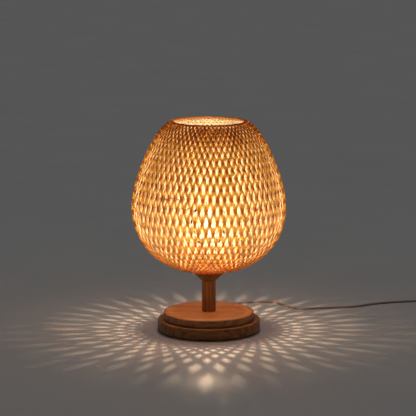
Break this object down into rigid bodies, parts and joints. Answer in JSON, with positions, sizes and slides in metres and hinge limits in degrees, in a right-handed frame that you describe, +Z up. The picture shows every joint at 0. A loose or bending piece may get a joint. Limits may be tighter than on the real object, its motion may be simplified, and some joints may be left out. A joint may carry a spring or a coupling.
{
  "type": "table lamp with shade",
  "caption": "Table lamp: pear-shaped double-layer woven bamboo shade on a turned wooden stem and two-tier round base, screw-in filament bulb, mains lead with in-line rocker switch and plug.",
  "frame": {"origin": "on the surface the lamp stands on, at the axis of its base, stem and shade", "axes": "+Z up along the lamp's axis, -Y the front, +Y the back where the lead leaves, +X the lamp's right seen from the front"},
  "size_m": [0.5497, 0.3309, 0.3416],
  "materials": {
    "base_top_wood": "satin oil, long straight grain",
    "base_wood": "satin oil, grain wrapping the turned edge",
    "stem_wood": "satin oil, grain along the stem",
    "bamboo": "split bamboo strips, satin, translucent when lit",
    "dark_bamboo": "split bamboo hoop, satin",
    "felt": "matt",
    "zinc": "zinc plated",
    "steel": "pressed sheet",
    "brass": "plain",
    "nickel": "bright nickel",
    "phenolic": "moulded, half gloss",
    "ceramic": "unglazed white",
    "bulb_glass": "clear",
    "black_glass": "glossy black glass",
    "filament": "phosphor coated, lit",
    "lead_sheath": "dark brown flexible sheath",
    "core_blue": "thin flexible insulation",
    "core_brown": "thin flexible insulation",
    "brown_plastic": "moulded, fine spark texture"
  },
  "bodies": {
    "lamp": {"base_pad": "felt", "base_lower_disc": "base_wood", "base_upper_disc": "base_top_wood", "base_washer": "zinc", "base_nut": "zinc", "stem": "stem_wood", "lamp_rod": "zinc", "shade_cup": "stem_wood", "cup_nut": "zinc", "holder_cap": "phenolic", "holder_skirt": "phenolic", "holder_terminal_block": "ceramic", "holder_screw_shell": "brass", "holder_contact": "brass", "holder_terminal_left": "brass", "holder_terminal_right": "brass", "shade_ring_nut": "phenolic", "shade_outer_weave": "bamboo", "shade_inner_weave": "bamboo", "shade_top_hoop_inner": "dark_bamboo", "shade_top_hoop_outer": "dark_bamboo", "shade_bottom_hoop": "bamboo", "shade_fitter": "steel", "lead_gland": "brown_plastic", "inner_lead": "lead_sheath", "core_left": "core_blue", "core_right": "core_brown", "lead_to_switch": "lead_sheath", "lead_to_coil": "lead_sheath", "lead_coil": "lead_sheath", "lead_to_plug": "lead_sheath", "coil_tie": "felt", "switch_lower_half": "brown_plastic", "switch_upper_half": "brown_plastic", "switch_screw_1": "zinc", "switch_screw_2": "zinc", "plug_body": "brown_plastic", "plug_pin_left": "nickel", "plug_pin_right": "nickel"},
    "bulb": {"bulb_glass": "bulb_glass", "bulb_cap": "nickel", "bulb_insulator": "black_glass", "bulb_tip_contact": "zinc", "bulb_mount": "bulb_glass", "bulb_filaments": "filament"},
    "rocker": {"switch_rocker": "brown_plastic"}
  },
  "joints": [
    {"name": "bulb_removal", "type": "slide", "parent": "lamp", "child": "bulb", "axis": [0, 0, 1], "range_m": [0, 0.03]},
    {"name": "rocker_tilt", "type": "hinge", "parent": "lamp", "child": "rocker", "pos_m": [0.408, 0.139, 0.0106], "axis": [1, 0, 0], "range_deg": [-18, 0]}
  ]
}
